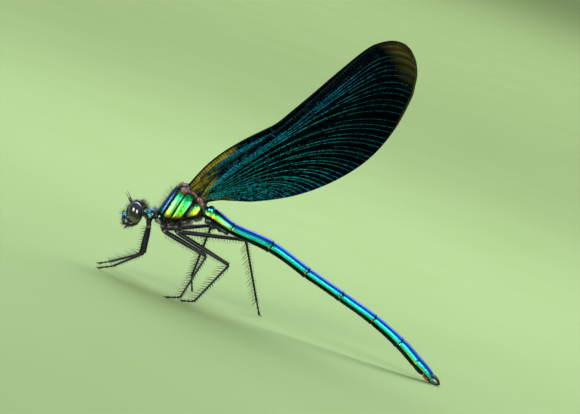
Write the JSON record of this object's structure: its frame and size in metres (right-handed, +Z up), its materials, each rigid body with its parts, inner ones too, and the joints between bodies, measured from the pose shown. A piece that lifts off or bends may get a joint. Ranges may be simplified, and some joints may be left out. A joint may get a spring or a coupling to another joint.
{
  "type": "damselfly model",
  "caption": "Life-size still model of a male damselfly with metallic body and dark wings closed over its back, standing on its feet and tail tip.",
  "frame": {"origin": "on the floor, under the centre of the whole animal's box", "axes": "+X from the head towards the tail, +Y towards the animal's right side, +Z up from the floor"},
  "size_m": [0.0456, 0.0114, 0.0391],
  "materials": {
    "dark_shell": "black horny shell with a blue-green metal sheen",
    "eye": "glossy dark brown compound eye",
    "green_shell": "green to gold metallic shell with black sutures",
    "blue_shell": "blue to green metallic shell with black joint rings",
    "leg_shell": "black shell with a faint blue sheen",
    "wing_membrane": "dark iridescent membrane with green-blue veins"
  },
  "bodies": {
    "root": {"head": "dark_shell", "eye_left": "eye", "eye_right": "eye", "antenna_left": "dark_shell", "antenna_right": "dark_shell", "prothorax": "green_shell", "thorax": "green_shell", "abdomen_1": "blue_shell", "abdomen_2": "blue_shell", "abdomen_3": "blue_shell", "abdomen_4": "blue_shell", "abdomen_5": "blue_shell", "abdomen_6": "blue_shell", "abdomen_7": "blue_shell", "abdomen_8": "blue_shell", "abdomen_9": "blue_shell", "abdomen_10": "blue_shell", "leg_front_left_femur": "leg_shell", "leg_front_left_tibia": "leg_shell", "leg_front_left_tarsus": "leg_shell", "leg_front_right_femur": "leg_shell", "leg_front_right_tibia": "leg_shell", "leg_front_right_tarsus": "leg_shell", "leg_middle_left_femur": "leg_shell", "leg_middle_left_tibia": "leg_shell", "leg_middle_left_tarsus": "leg_shell", "leg_middle_right_femur": "leg_shell", "leg_middle_right_tibia": "leg_shell", "leg_middle_right_tarsus": "leg_shell", "leg_hind_left_femur": "leg_shell", "leg_hind_left_tibia": "leg_shell", "leg_hind_left_tarsus": "leg_shell", "leg_hind_right_femur": "leg_shell", "leg_hind_right_tibia": "leg_shell", "leg_hind_right_tarsus": "leg_shell", "wing_fore_left": "wing_membrane", "wing_fore_right": "wing_membrane", "wing_hind_left": "wing_membrane", "wing_hind_right": "wing_membrane"}
  },
  "joints": []
}
